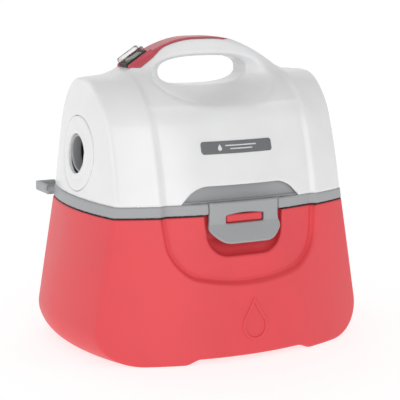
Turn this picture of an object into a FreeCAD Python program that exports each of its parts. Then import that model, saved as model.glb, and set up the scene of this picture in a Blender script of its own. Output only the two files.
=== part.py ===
import FreeCAD, Part
import math
import os
from FreeCAD import Vector as V

# Portable wet and dry vacuum cleaner: a moulded tank, and a lift-off power head held by two latches.
# Millimetres. X runs along the length (hose port at -X, blower port at +X), -Y is the front, Z is up.
# The origin is under the middle of the footprint, on the surface that the feet stand on.

# --- overall form -----------------------------------------------------------------------------
RIM_Z = 146.6            # top of the tank wall
CORNER_X = 133.6         # plan corner at the rim
CORNER_Y = 80.6
FRONT_RISE = 33.6        # how far the bowed front and rear stand past the corners
END_RISE = 11.7          # how far the bowed ends stand past the corners
TANK_END_FLARE = 0.162   # the tank widens downwards, mm per mm
TANK_FRONT_FLARE = 0.10
LOWER_RADIUS = 42.0      # rounding of the tank's lower ends
WALL = 3.2               # moulded wall thickness of tank and head

STEP_OUT = 91.0          # the middle panel is let in between these two lines
STEP_IN = 82.0
STEP_DEPTH = 5.0
PANEL_FLOOR_Z = 77.0     # lowest point of the let-in panel on the tank

SEAM = 1.5               # gasket thickness, seen as the dark seam
BAND_TOP_Z = 159.0
BAND_END_LEAN = 0.162
BAND_FRONT_LEAN = 0.05
BAND_WALL = 5.0
DECK_T = 3.5

HEAD_CORNER_X = CORNER_X - 2.7   # plan corner of the head where it sits on the band
HEAD_END_LEAN = 0.078
HEAD_END_RISE = 10.5
HEAD_PROFILE = [(80.0, 0.0), (72.8, 33.0), (66.1, 56.0), (51.4, 95.0), (34.0, 110.0)]
CROWN_Z = 286.0          # crown of the head at mid length
CROWN_DROP = 6.0         # how much lower the crown is at the ends

# --- handle -----------------------------------------------------------------------------------
ARCH_OUTLINE = [(97.0, 278.0), (78.0, 293.6), (60.0, 304.8), (37.0, 315.0), (0.0, 319.2)]
ARCH_HALF_Y = 18.0
ARCH_FILLET = 8.0
WINDOW_HALF_X = 52.0     # hand opening
WINDOW_Z0 = 268.8
WINDOW_Z1 = 299.5
FLANK = [(18.0, 303.0), (28.0, 294.0), (42.0, 282.5), (55.0, 270.5), (72.0, 254.0)]
COVER_HALF_Y = 15.8      # coral top cover on the handle
COVER_HALF_X = 94.0
COVER_T = 3.0
COVER_GAP = 0.3          # seam round the cover
HANDLE_SEAT = 0.1        # clearance where the handle sits on the head
SCOOP_Y = (12.0, 20.0, 30.0, 44.0, 60.0, 76.0, 98.0)
SCOOP_POWER = 2.6        # squareness of the scoop round the hand opening

# --- ports ------------------------------------------------------------------------------------
PORT_Z = 203.0
PORT_BORE_R = 17.3       # for a nominal 1 1/4 inch hose end
PORT_RING_R = PORT_BORE_R + 2.9
PORT_RING_L = 14.0
DISC_R = 38.5
PORT_GAP = 0.3
PIPE_BORE_R = PORT_BORE_R + 0.7
PIPE_WALL = 2.0

# --- latches ----------------------------------------------------------------------------------
LATCH_HALF_X = 41.0
LATCH_TOP_Z = 160.0
LATCH_KNEE_Z = 137.0
LATCH_TIP_Z = 119.0
LATCH_T = 5.6
LATCH_LIP_OUT = 11.5
LATCH_GAP = 0.6
LATCH_AXIS_Z = 154.5
LATCH_AXIS_IN = 6.4      # how far the pin lies behind the face, so that the bowed band still wraps it
LATCH_PIN_R = 1.8
LATCH_KNUCKLE_R = 3.4
LATCH_WINDOW_X = 21.0
LATCH_WINDOW_Z = (137.7, 147.5)
SCOOP_HALF_X = 46.0
SCOOP_BOTTOM_Z = 103.0
SCOOP_DEPTH = 13.0

# --- fan and motor on the vertical axis --------------------------------------------------------
SHAFT_R = 4.0
RUN_CLEAR = 0.05         # radial running clearance
FAN_R = 50.0
FAN_HOUSING_R = FAN_R + 7.0
FAN_HOUSING_H = 22.0
FAN_HOUSING_WALL = 2.5
NOZZLE_R = 10.0
NOZZLE_BORE_R = NOZZLE_R - 1.6
EYE_R = 20.0
MOTOR_R = 46.0
STATOR_R = MOTOR_R - 3.0
ARMATURE_R = 22.0
AIR_GAP = 0.6
CAGE_R = 47.0
CAGE_BOTTOM_Z = RIM_Z - 84.6
FOAM_T = 5.0
FLOAT_R = 36.0
FLOAT_H = 26.0
CAGE_SCREWS = [((CAGE_R + 9.5) * math.cos(a), (CAGE_R + 9.5) * math.sin(a))
               for a in (math.pi / 4, 3 * math.pi / 4, -math.pi / 4, -3 * math.pi / 4)]
CAGE_SCREW_R = 1.9
DECK_SCREW_R = 1.55
BOSS_R = 5.5

# --- levels that follow ------------------------------------------------------------------------
BAND_Z = RIM_Z + SEAM
DECK_TOP_Z = BAND_Z + DECK_T
FACE_Y = CORNER_Y + FRONT_RISE - STEP_DEPTH - BAND_FRONT_LEAN * SEAM
PIPE_X = HEAD_CORNER_X - 34.9
SCREW_END = (HEAD_CORNER_X - 18.9, CORNER_Y - 12.6)
SCREW_SIDE = (62.0, CORNER_Y + 1.4)
SCREWS = [(sx * x, sy * y) for x, y in (SCREW_END, SCREW_SIDE) for sx in (-1, 1) for sy in (-1, 1)]
GLAND_X = 36.0
GLAND_Z = 190.0
GLAND_SEAT_Y = FACE_Y - 16.725   # its flange seats inside the leaning rear wall
GLAND_R = 9.0
GLAND_FLANGE_R = 12.0
BAY_Z1 = 176.0           # finger recess above each latch
BAY_HALF_X = 68.0
BAY_RADIUS = 13.5
BAY_BACK = 14.0          # how far back the recess goes from the front face
TRAY_T = 2.4

PARTS = {}


def put(name, shape):
    PARTS[name] = shape


def box(x0, x1, y0, y1, z0, z1):
    return Part.makeBox(x1 - x0, y1 - y0, z1 - z0, V(x0, y0, z0))


def cyl(r, z0, z1, x=0.0, y=0.0):
    return Part.makeCylinder(r, z1 - z0, V(x, y, z0))


def cyl_x(r, x0, x1, y=0.0, z=0.0):
    return Part.makeCylinder(r, x1 - x0, V(x0, y, z), V(1, 0, 0))


def cyl_y(r, y0, y1, x=0.0, z=0.0):
    return Part.makeCylinder(r, y1 - y0, V(x, y0, z), V(0, 1, 0))


def tube(r_out, r_in, z0, z1, x=0.0, y=0.0):
    return cyl(r_out, z0, z1, x, y).cut(cyl(r_in, z0 - 1, z1 + 1, x, y))


def prism_y(points, y0, y1):
    wire = Part.makePolygon([V(x, y0, z) for x, z in points + points[:1]])
    return Part.Face(wire).extrude(V(0, y1 - y0, 0))


def prism_x(points, x0, x1):
    wire = Part.makePolygon([V(x0, y, z) for y, z in points + points[:1]])
    return Part.Face(wire).extrude(V(x1 - x0, 0, 0))


def both_ends(shape):
    return [shape, shape.mirror(V(0, 0, 0), V(1, 0, 0))]


def rear_of(shape):
    return shape.mirror(V(0, 0, 0), V(0, 1, 0))


def solid(shape):
    """One closed body of the largest solid, with split faces joined."""
    solids = sorted(shape.Solids, key=lambda s: s.Volume)
    return solids[-1].removeSplitter()


# --- plan outline of the body at a height ------------------------------------------------------
def bow(x, half, rise):
    """How far a bowed side stands past its corners at x along it."""
    radius = (half * half + rise * rise) / (2 * rise)
    return rise - radius + math.sqrt(radius * radius - x * x)


def arc(a, m, b, z):
    return Part.Arc(V(a[0], a[1], z), V(m[0], m[1], z), V(b[0], b[1], z)).toShape()


def line(a, b, z):
    return Part.makeLine(V(a[0], a[1], z), V(b[0], b[1], z))


def corner_at(z):
    if z <= RIM_Z:
        return CORNER_X + TANK_END_FLARE * (RIM_Z - z), CORNER_Y + TANK_FRONT_FLARE * (RIM_Z - z)
    return CORNER_X - BAND_END_LEAN * (z - RIM_Z), CORNER_Y - BAND_FRONT_LEAN * (z - RIM_Z)


def plan_wire(z, inset=0.0, stepped=False, depth=0.0):
    """Four bowed sides; stepped lets the middle of the front and rear in by STEP_DEPTH."""
    hx, hy = corner_at(z)
    hx -= inset
    hy -= inset + depth

    def y_at(x):
        return hy + bow(x, hx, FRONT_RISE)

    end = arc((hx, -hy), (hx + END_RISE, 0), (hx, hy), z)
    if not stepped:
        rear = arc((hx, hy), (0, hy + FRONT_RISE), (-hx, hy), z)
        left = arc((-hx, hy), (-hx - END_RISE, 0), (-hx, -hy), z)
        front = arc((-hx, -hy), (0, -hy - FRONT_RISE), (hx, -hy), z)
        return Part.Wire([end, rear, left, front])
    shift = 0.26 * inset
    xo = STEP_OUT + shift
    xi = STEP_IN + shift
    xm = (hx + xo) / 2
    outer = [(hx, hy), (xm, y_at(xm)), (xo, y_at(xo))]
    inner = (xi, y_at(xi) - STEP_DEPTH)
    middle = (0, y_at(0) - STEP_DEPTH)
    far = [(-x, y) for x, y in outer]
    inner_far = (-inner[0], inner[1])
    edges = [end, arc(*outer, z), line(outer[2], inner, z), arc(inner, middle, inner_far, z)]
    edges += [line(inner_far, far[2], z), arc(far[2], far[1], far[0], z)]
    left = arc((-hx, hy), (-hx - END_RISE, 0), (-hx, -hy), z)
    front = [e.mirror(V(0, 0, 0), V(0, 1, 0)) for e in edges[1:]]
    return Part.Wire(Part.__sortEdges__(edges + [left] + front))


def plan_solid(z0, z1, inset=0.0, stepped=True):
    wires = [plan_wire(z, inset, stepped) for z in (z0, z1)]
    return Part.makeLoft(wires, True, True)


def panel_outline(grow=0.0):
    """Front view of the let-in panel on the tank: a broad U."""
    top = RIM_Z + 5
    half = (STEP_OUT + STEP_IN) / 2 + grow
    floor = PANEL_FLOOR_Z - grow
    shoulder = floor + 15
    left = [(-half, top), (-half + 4, shoulder + 24), (-half + 15, shoulder), (-half + 46, floor + 3)]
    right = [(-x, z) for x, z in reversed(left)]
    curve = Part.BSplineCurve()
    curve.interpolate([V(x, 0, z) for x, z in left + [(0, floor)] + right])
    return Part.Wire([curve.toShape(), Part.makeLine(V(half, 0, top), V(-half, 0, top))])


def tank_form(inset, depth=0.0):
    wires = [plan_wire(z, inset, False, depth) for z in (RIM_Z + (5 if inset else 0), 0.0)]
    form = Part.makeLoft(wires, True, True)
    ends = []
    for e in form.Edges:
        b = e.BoundBox
        if b.ZMax < 0.01 and abs(b.Center.x) > 100:
            ends.append(e)
    return form.makeFillet(LOWER_RADIUS - inset, ends)


def tank_body(inset):
    """The tank's outside at inset 0, its inside at inset WALL, each with the let-in panels."""
    body = tank_form(inset)
    deep = tank_form(inset, STEP_DEPTH)
    panel = Part.Face(panel_outline(inset)).extrude(V(0, -200, 0))
    cutter = panel.cut(deep)
    body = body.cut(cutter).cut(rear_of(cutter))
    return solid(body)


def scoop(grow):
    """The finger pocket under a latch: a rounded U sunk into the let-in panel."""
    half = SCOOP_HALF_X + grow
    low = SCOOP_BOTTOM_Z - grow
    r = 22.0
    top = RIM_Z + 5
    wire = Part.Wire([
        Part.makeLine(V(-half, 0, top), V(-half + 4, 0, low + r)),
        Part.Arc(V(-half + 4, 0, low + r), V(-half + 12, 0, low + 6), V(-half + 4 + r, 0, low)).toShape(),
        Part.makeLine(V(-half + 4 + r, 0, low), V(half - 4 - r, 0, low)),
        Part.Arc(V(half - 4 - r, 0, low), V(half - 12, 0, low + 6), V(half - 4, 0, low + r)).toShape(),
        Part.makeLine(V(half - 4, 0, low + r), V(half, 0, top)),
        Part.makeLine(V(half, 0, top), V(-half, 0, top))])
    face_y = -(CORNER_Y + FRONT_RISE - STEP_DEPTH)
    pocket = Part.Face(wire).extrude(V(0, -200, 0))
    back = face_y + SCOOP_DEPTH + grow
    slope = [(back, RIM_Z + 5), (back, low + 18), (face_y - 6, low), (face_y - 60, low), (face_y - 60, RIM_Z + 5)]
    return pocket.common(prism_x(slope, -half - 1, half + 1))


def tank_side(inset):
    pocket = scoop(inset)
    return tank_body(inset).cut(pocket).cut(rear_of(pocket))


def make_tank():
    outer = tank_side(0.0)
    inner = tank_side(WALL)
    floor = 8.5
    inner = inner.common(box(-300, 300, -300, 300, floor, RIM_Z + 10))
    arch = prism_y([(-73, -1), (-73, 0), (-56, 5), (56, 5), (73, 0), (73, -1)], -200, 200)
    tank = outer.cut(inner).cut(arch)
    face_y = -(CORNER_Y + FRONT_RISE - STEP_DEPTH)
    back = face_y + SCOOP_DEPTH
    x = LATCH_WINDOW_X - 0.8
    z0, z1 = LATCH_WINDOW_Z
    catch = box(-x, x, face_y + LATCH_T + LATCH_GAP, back + 1.0, z0 + 0.8, z1 - 0.9)
    tank = tank.fuse(catch).fuse(rear_of(catch))
    put("tank", solid(tank))
    rim = tank_side(0.8).cut(tank_side(WALL - 0.4))
    put("tank_gasket", solid(rim.common(box(-300, 300, -300, 300, RIM_Z, BAND_Z))))


# --- deck: the grey band with its plate, seat ring and cord hooks --------------------------------
LATCH_AXIS_Y = -(FACE_Y - LATCH_AXIS_IN)
BAY_DEPTH = LATCH_AXIS_IN + LATCH_KNUCKLE_R + LATCH_GAP


def latch_bay(wall=0.0):
    """Room for a latch in the band: a slot past its sides, its back and its swinging top."""
    x = LATCH_HALF_X + LATCH_GAP + 2 * wall
    back = -(FACE_Y - BAY_DEPTH) + wall
    return box(-x, x, -FACE_Y - 20, back, BAND_Z - 1, BAND_TOP_Z + 1)


def make_deck():
    hollow = plan_solid(DECK_TOP_Z, BAND_TOP_Z + 1, BAND_WALL)
    for pad in (latch_bay(3.0), rear_of(latch_bay(3.0))):
        hollow = hollow.cut(pad)
    deck = plan_solid(BAND_Z, BAND_TOP_Z).cut(hollow)
    z_low = BAND_Z - 7
    ring = plan_solid(z_low, BAND_Z + 1, WALL + 1.0).cut(plan_solid(z_low - 1, BAND_Z + 2, WALL + 3.4))
    x = STEP_OUT + 4.0
    ring = ring.cut(box(-x, x, -200, 200, z_low - 1, BAND_Z))
    deck = deck.fuse(ring)
    for bay in (latch_bay(), rear_of(latch_bay())):
        deck = deck.cut(bay)
    deck = deck.cut(cyl(30.0, BAND_Z - 2, DECK_TOP_Z + 1))
    deck = deck.cut(cyl(PIPE_BORE_R + PIPE_WALL + PORT_GAP, BAND_Z - 20, DECK_TOP_Z + 1, -PIPE_X))
    for hook in both_ends(make_hook()):
        deck = deck.fuse(hook)
    for x, y in SCREWS:
        deck = deck.cut(cyl(2.2, BAND_Z - 20, DECK_TOP_Z + 1, x, y))
    for x, y in CAGE_SCREWS:
        deck = deck.cut(cyl(CAGE_SCREW_R + 0.05, BAND_Z - 1, DECK_TOP_Z + 1, x, y))
    y_pin = -LATCH_AXIS_Y
    for side in (-1, 1):
        pin = cyl_x(LATCH_PIN_R + RUN_CLEAR, -LATCH_HALF_X - 6, LATCH_HALF_X + 6, side * y_pin, LATCH_AXIS_Z)
        deck = deck.cut(pin)
    put("deck", solid(deck))


def make_hook():
    """Cord hook on a rear corner: a flat arm off the band with a turned-up end."""
    arm = box(-141, -119, 78, 113, BAND_Z, BAND_Z + 4.5)
    end = box(-141, -119, 109.5, 114, BAND_Z, BAND_TOP_Z)
    side = box(-141, -137.5, 84, 114, BAND_Z, BAND_TOP_Z)
    hook = arm.fuse(end).fuse(side)
    return solid(hook.cut(plan_solid(BAND_Z - 1, BAND_TOP_Z + 1, BAND_WALL - 2)))


# --- head shell ---------------------------------------------------------------------------------
def head_section(x, inset, depth):
    """Cross-section of the head at x: leaning sides that turn over into a crown."""
    spread = bow(x, CORNER_X, FRONT_RISE) - depth
    crown = CROWN_Z - CROWN_DROP * (x / HEAD_CORNER_X) ** 2
    pts = [(y + spread, BAND_TOP_Z + z) for y, z in HEAD_PROFILE]
    moved = []
    for i, (y, z) in enumerate(pts):
        ya, za = pts[max(i - 1, 0)]
        yb, zb = pts[i + 1] if i + 1 < len(pts) else (0.0, crown)
        length = math.hypot(yb - ya, zb - za)
        moved.append((y - inset * (zb - za) / length, z + inset * (yb - ya) / length))
    moved[0] = (moved[0][0], BAND_TOP_Z - (1.0 if inset else 0.0))
    right = [V(x, -y, z) for y, z in moved]
    left = [V(x, y, z) for y, z in reversed(moved)]
    curve = Part.BSplineCurve()
    curve.interpolate(right + [V(x, 0, crown - inset)] + left)
    return Part.Wire([curve.toShape(), Part.makeLine(left[-1], right[0])])


def span(stations, inset, depths, ruled=False):
    wires = [head_section(x, inset, d) for x, d in zip(stations, depths)]
    return Part.makeLoft(wires, True, ruled)


def end_limit(inset):
    """Leaning, bowed ends of the head."""
    wires = []
    reach = 135.0
    for z in (BAND_TOP_Z - 10, 330.0):
        tip = HEAD_CORNER_X - HEAD_END_LEAN * (z - BAND_TOP_Z) + HEAD_END_RISE - inset
        back = tip - HEAD_END_RISE + bow(reach, CORNER_Y, HEAD_END_RISE)
        right = arc((back, -reach), (tip, 0), (back, reach), z)
        left = arc((-back, reach), (-tip, 0), (-back, -reach), z)
        sides = [line((back, reach), (-back, reach), z), line((-back, -reach), (back, -reach), z)]
        wires.append(Part.Wire([right, sides[0], left, sides[1]]))
    return Part.makeLoft(wires, True, True)


def loaf(inset):
    shift = 0.26 * inset
    xo = STEP_OUT + shift
    xi = STEP_IN + shift
    body = span((-xi, -xi / 2, 0, xi / 2, xi), inset, [STEP_DEPTH] * 5)
    for side in (-1, 1):
        far = [side * x for x in (xo, (xo + 142.0) / 2, 142.0)]
        body = body.fuse(span(sorted(far), inset, [0.0] * 3))
        depths = (0.0, STEP_DEPTH) if side < 0 else (STEP_DEPTH, 0.0)
        body = body.fuse(span(sorted((side * xo, side * xi)), inset, depths, True))
    return body.common(end_limit(inset))


def scoop_wire(y, grow):
    """Squarish oval that widens from the hand opening out to the front of the head."""
    out = max(abs(y) - 14.0, 0.0)
    half_x = WINDOW_HALF_X + 24.0 * (1 - math.exp(-out / 18.0)) + grow
    low = WINDOW_Z0 - 0.27 * out - grow
    high = WINDOW_Z1 + 0.42 * out + grow
    middle = (low + high) / 2
    half_z = (high - low) / 2
    count = 32
    points = []
    for i in range(count):
        a = 2 * math.pi * i / count
        c, n = math.cos(a), math.sin(a)
        points.append(V(half_x * math.copysign(abs(c) ** (2 / SCOOP_POWER), c), y,
                        middle + half_z * math.copysign(abs(n) ** (2 / SCOOP_POWER), n)))
    curve = Part.BSplineCurve()
    curve.interpolate(points, PeriodicFlag=True)
    return Part.Wire([curve.toShape()])


def hand_scoop(grow=0.0):
    """Everything scooped out round the hand opening, front to rear."""
    front = Part.makeLoft([scoop_wire(-y, grow) for y in SCOOP_Y], True, False)
    middle = Part.makeLoft([scoop_wire(y, grow) for y in (-SCOOP_Y[0], SCOOP_Y[0])], True, True)
    return front, middle, rear_of(front)


def arch_outline():
    right = [V(x, 0, z) for x, z in ARCH_OUTLINE]
    left = [V(-p.x, 0, p.z) for p in reversed(right[:-1])]
    curve = Part.BSplineCurve()
    curve.interpolate(right + left)
    return curve.toShape()


def arch_solid(base=252.0):
    """The handle before it is opened: an arch whose flanks spread down onto the head."""
    edge = arch_outline()
    a = edge.valueAt(edge.FirstParameter)
    b = edge.valueAt(edge.LastParameter)
    lines = [Part.makeLine(b, V(b.x, 0, base)), Part.makeLine(V(b.x, 0, base), V(a.x, 0, base))]
    lines.append(Part.makeLine(V(a.x, 0, base), a))
    wire = Part.Wire([edge] + lines)
    wire.translate(V(0, -90, 0))
    block = Part.Face(wire).extrude(V(0, 180, 0))
    right = [(y, z) for y, z in FLANK]
    roof = [(-ARCH_HALF_Y, 330), (ARCH_HALF_Y, 330)] + right + [(72, 240), (-72, 240)]
    roof += [(-y, z) for y, z in reversed(right)]
    arch = block.common(prism_x(roof, -120, 120))
    crest = [e for e in arch.Edges if e.BoundBox.ZMax > 310 and e.BoundBox.XLength > 80]
    return arch.makeFillet(ARCH_FILLET, crest)


def cover_zone(grow):
    """Plan shape of the handle's top cover, as a tall prism."""
    x, y = COVER_HALF_X + grow, COVER_HALF_Y + grow
    block = box(-x, x, -y, y, 250, 340)
    return block.makeFillet(12.0, [e for e in block.Edges if e.BoundBox.ZLength > 80])


def sunk(shape, depth):
    shape = shape.copy()
    shape.translate(V(0, 0, -depth))
    return shape


def make_head():
    plain = arch_solid()
    core = sunk(plain, COVER_T)
    skin = plain.cut(core).common(cover_zone(0.0))
    arch = plain
    outer = loaf(0.0)
    inner = loaf(WALL)
    for hollow, fat in zip(hand_scoop(), hand_scoop(WALL)):
        outer = outer.cut(hollow)
        arch = arch.cut(hollow)
        skin = skin.cut(hollow)
        inner = inner.cut(fat)
    inner = inner.cut(box(-WINDOW_HALF_X - WALL, WINDOW_HALF_X + WALL, -30, 30, WINDOW_Z0 - WALL, 340))
    inner = inner.cut(box(-300, 300, -300, 300, 279.0, 340))
    shell = outer.cut(inner)
    whole = loaf(-HANDLE_SEAT)
    cover = skin.cut(whole).cut(switch_bay())
    frame = arch.cut(whole).cut(cover_zone(COVER_GAP).cut(core)).cut(switch_bay())
    shell = shell.cut(switch_bay())
    put("handle_cover", solid(cover))
    put("handle_frame", solid(frame))

    bay = panel_bay()
    shell = shell.cut(bay).cut(rear_of(bay))
    for hole in both_ends(cyl_x(DISC_R + PORT_GAP, -170, -60, 0, PORT_Z)):
        shell = shell.cut(hole)
    within = loaf(1.0)
    for x, y in SCREWS:
        shell = shell.fuse(cyl(BOSS_R, BAND_TOP_Z, CROWN_Z - 24, x, y).common(within))
        shell = shell.cut(cyl(DECK_SCREW_R + RUN_CLEAR, BAND_TOP_Z - 1, BAND_TOP_Z + 18, x, y))
    shell = shell.cut(cyl_y(GLAND_R + 0.2, 40, 160, GLAND_X, GLAND_Z))
    # the shell in five nodes, so that each is simple: its middle, its two ends, and the skirt of each end
    x = WINDOW_HALF_X
    put("head_shell", solid(shell.common(box(-x, x, -300, 300, BAY_Z1, 400))))
    for side, x0, x1 in (("left", -300, -x), ("right", x, 300)):
        put("head_shell_" + side, solid(shell.common(box(x0, x1, -300, 300, BAY_Z1, 400))))
        put("head_skirt_" + side, solid(shell.common(box(x0, x1, -300, 300, 0, BAY_Z1))))


def top_corners(block):
    """The two upper edges of a block that run front to rear."""
    return [e for e in block.Edges if e.BoundBox.ZMin > block.BoundBox.ZMax - 0.1 and e.BoundBox.XLength < 0.1]


def panel_bay():
    """The finger recess in the let-in panel just above a latch."""
    block = box(-BAY_HALF_X, BAY_HALF_X, -140, -60, BAND_TOP_Z - 1, BAY_Z1)
    return block.makeFillet(BAY_RADIUS, top_corners(block))


def make_bay_tray():
    """Grey liner that closes the finger recess: back wall, rim behind the shell, and a floor."""
    back = -(FACE_Y - BAY_BACK)
    t = TRAY_T
    outer = box(-BAY_HALF_X - t, BAY_HALF_X + t, -(FACE_Y - 2.0), back + t, BAND_TOP_Z, BAY_Z1 + t)
    outer = outer.makeFillet(BAY_RADIUS + t, top_corners(outer))
    hollow = panel_bay().common(box(-300, 300, -200, back, BAND_TOP_Z + 1.6, 300))
    notch = box(-300, 300, -200, -(FACE_Y - BAY_DEPTH), 0, BAND_TOP_Z + 1.7)
    return solid(outer.cut(hollow).cut(notch).common(loaf(WALL + 0.3)))


def make_ports():
    full = loaf(0.0).cut(end_limit(WALL + 2.8))
    disc = full.common(cyl_x(DISC_R, -170, -60, 0, PORT_Z))
    flange = full.common(end_limit(WALL + PORT_GAP)).common(cyl_x(DISC_R + 4.0, -170, -60, 0, PORT_Z))
    disc = disc.fuse(flange)
    disc = solid(disc.cut(cyl_x(PORT_RING_R + 0.2, -170, -60, 0, PORT_Z)))
    face_x = -(HEAD_CORNER_X + HEAD_END_RISE - HEAD_END_LEAN * (PORT_Z - BAND_TOP_Z))
    ring = cyl_x(PORT_RING_R, face_x - 1.0, face_x + PORT_RING_L - 1.0, 0, PORT_Z)
    ring = ring.cut(cyl_x(PORT_BORE_R, -170, -60, 0, PORT_Z))
    names = (("hose_inlet_disc", "blower_outlet_disc"), ("hose_inlet_ring", "blower_outlet_ring"))
    for (left_name, right_name), shape in zip(names, (disc, ring)):
        left, right = both_ends(shape)
        put(left_name, left)
        put(right_name, right)
    return face_x + PORT_RING_L - 1.0


def pipe(points, radii, r_out, r_in):
    """A tube along straight runs joined by tangent arcs."""
    edges = []
    start = V(*points[0])
    for i in range(1, len(points) - 1):
        p, q, s = (V(*points[j]) for j in (i - 1, i, i + 1))
        u = (q - p).normalize()
        w = (s - q).normalize()
        half = math.acos(max(-1.0, min(1.0, u.dot(w)))) / 2
        t = radii[i - 1] * math.tan(half)
        a = q - u * t
        b = q + w * t
        centre_dir = (w - u).normalize()
        mid = q + centre_dir * (radii[i - 1] / math.cos(half) - radii[i - 1])
        if (a - start).Length > 1e-6:
            edges.append(Part.makeLine(start, a))
        edges.append(Part.Arc(a, mid, b).toShape())
        start = b
    edges.append(Part.makeLine(start, V(*points[-1])))
    path = Part.Wire(edges)
    direction = (V(*points[1]) - V(*points[0])).normalize()
    solids = []
    for r in (r_out, r_in):
        if r <= 0:
            continue
        ring = Part.Wire([Part.makeCircle(r, V(*points[0]), direction)])
        solids.append(path.makePipeShell([ring], True, True))
    return solids[0] if len(solids) == 1 else solids[0].cut(solids[1])


def make_ducts(ring_end):
    r_out = PIPE_BORE_R + PIPE_WALL
    x_in = -ring_end
    inlet = pipe([(-x_in, 0, PORT_Z), (-PIPE_X, 0, PORT_Z), (-PIPE_X, 0, BAND_Z - 14)], [24.0], r_out, PIPE_BORE_R)
    collar = tube(r_out + 4, r_out - 0.5, DECK_TOP_Z, DECK_TOP_Z + 3, -PIPE_X)
    put("inlet_elbow", solid(inlet.fuse(collar)))
    z = DECK_TOP_Z + 1 + FAN_HOUSING_H / 2
    mouth = FAN_HOUSING_R + 3.0
    far = x_in - 10
    duct = pipe([(mouth, 0, z), (mouth + 10, 0, z), (far - 12, 0, PORT_Z), (far, 0, PORT_Z)],
                [14.0, 14.0], NOZZLE_R, NOZZLE_BORE_R)
    funnel = Part.makeCone(NOZZLE_R, r_out, 8.0, V(far, 0, PORT_Z), V(1, 0, 0)).cut(
        Part.makeCone(NOZZLE_BORE_R, PIPE_BORE_R, 8.0, V(far, 0, PORT_Z), V(1, 0, 0)))
    neck = cyl_x(r_out, far + 8, x_in, 0, PORT_Z).cut(cyl_x(PIPE_BORE_R, far + 7, x_in + 1, 0, PORT_Z))
    put("exhaust_duct", solid(duct.fuse(funnel).fuse(neck)))
    return z


# --- latches ------------------------------------------------------------------------------------
def make_latch():
    """Plate with a window, and a lip that flares out below; hangs from a pin in the band."""
    y = FACE_Y
    t = LATCH_T
    tip = y + LATCH_LIP_OUT
    pts = [(-y, LATCH_TOP_Z), (-y, LATCH_KNEE_Z + 1), (-tip, LATCH_TIP_Z + 2), (-tip, LATCH_TIP_Z),
           (-tip + 3.5, LATCH_TIP_Z), (-y + t - 1.0, LATCH_KNEE_Z - 4), (-y + t, LATCH_KNEE_Z), (-y + t, LATCH_TOP_Z)]
    body = prism_x(pts, -LATCH_HALF_X, LATCH_HALF_X)
    half = LATCH_HALF_X
    outline = Part.Wire([
        Part.makeLine(V(-half, 0, LATCH_TOP_Z), V(-half, 0, LATCH_KNEE_Z)),
        Part.Arc(V(-half, 0, LATCH_KNEE_Z), V(-half * 0.74, 0, LATCH_TIP_Z + 5.2), V(-14, 0, LATCH_TIP_Z)).toShape(),
        Part.makeLine(V(-14, 0, LATCH_TIP_Z), V(14, 0, LATCH_TIP_Z)),
        Part.Arc(V(14, 0, LATCH_TIP_Z), V(half * 0.74, 0, LATCH_TIP_Z + 5.2), V(half, 0, LATCH_KNEE_Z)).toShape(),
        Part.makeLine(V(half, 0, LATCH_KNEE_Z), V(half, 0, LATCH_TOP_Z)),
        Part.makeLine(V(half, 0, LATCH_TOP_Z), V(-half, 0, LATCH_TOP_Z))])
    body = body.common(Part.Face(outline).extrude(V(0, -300, 0)))
    bulge = FRONT_RISE - bow(LATCH_HALF_X, CORNER_X, FRONT_RISE)
    radius = (LATCH_HALF_X ** 2 + bulge ** 2) / (2 * bulge)
    crown = cyl(radius, LATCH_KNEE_Z, LATCH_TOP_Z + 1, 0, -FACE_Y + radius)
    top = body.common(box(-50, 50, -200, 0, LATCH_KNEE_Z, 200)).common(crown)
    body = body.common(box(-50, 50, -200, 0, 0, LATCH_KNEE_Z)).fuse(top)
    z0, z1 = LATCH_WINDOW_Z
    x = LATCH_WINDOW_X
    body = body.cut(box(-x, x, -200, 0, z0, z1))
    knuckle = cyl_x(LATCH_KNUCKLE_R, -half, half, LATCH_AXIS_Y, LATCH_AXIS_Z)
    knuckle = knuckle.fuse(box(-half, half, -FACE_Y + 3.0, LATCH_AXIS_Y, LATCH_AXIS_Z - LATCH_KNUCKLE_R,
                               LATCH_AXIS_Z + LATCH_KNUCKLE_R))
    body = body.fuse(knuckle.common(crown))
    body = body.cut(cyl_x(LATCH_PIN_R + RUN_CLEAR, -60, 60, LATCH_AXIS_Y, LATCH_AXIS_Z))
    return solid(body)


def make_latches():
    latch = make_latch()
    put("front_latch", latch)
    put("rear_latch", rear_of(latch))
    pin = cyl_x(LATCH_PIN_R, -LATCH_HALF_X - 5, LATCH_HALF_X + 5, LATCH_AXIS_Y, LATCH_AXIS_Z)
    put("front_latch_pin", pin)
    put("rear_latch_pin", rear_of(pin))


# --- motor and fan --------------------------------------------------------------------------------
def sector(r0, r1, z0, z1, half_angle, centre=90.0):
    """A block between two radii that spans half_angle each side of centre."""
    wire = Part.makePolygon([V(r0, 0, z0), V(r1, 0, z0), V(r1, 0, z1), V(r0, 0, z1), V(r0, 0, z0)])
    block = Part.Face(wire).revolve(V(0, 0, 0), V(0, 0, 1), 2 * half_angle)
    block.rotate(V(0, 0, 0), V(0, 0, 1), centre - half_angle)
    return block


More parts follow.
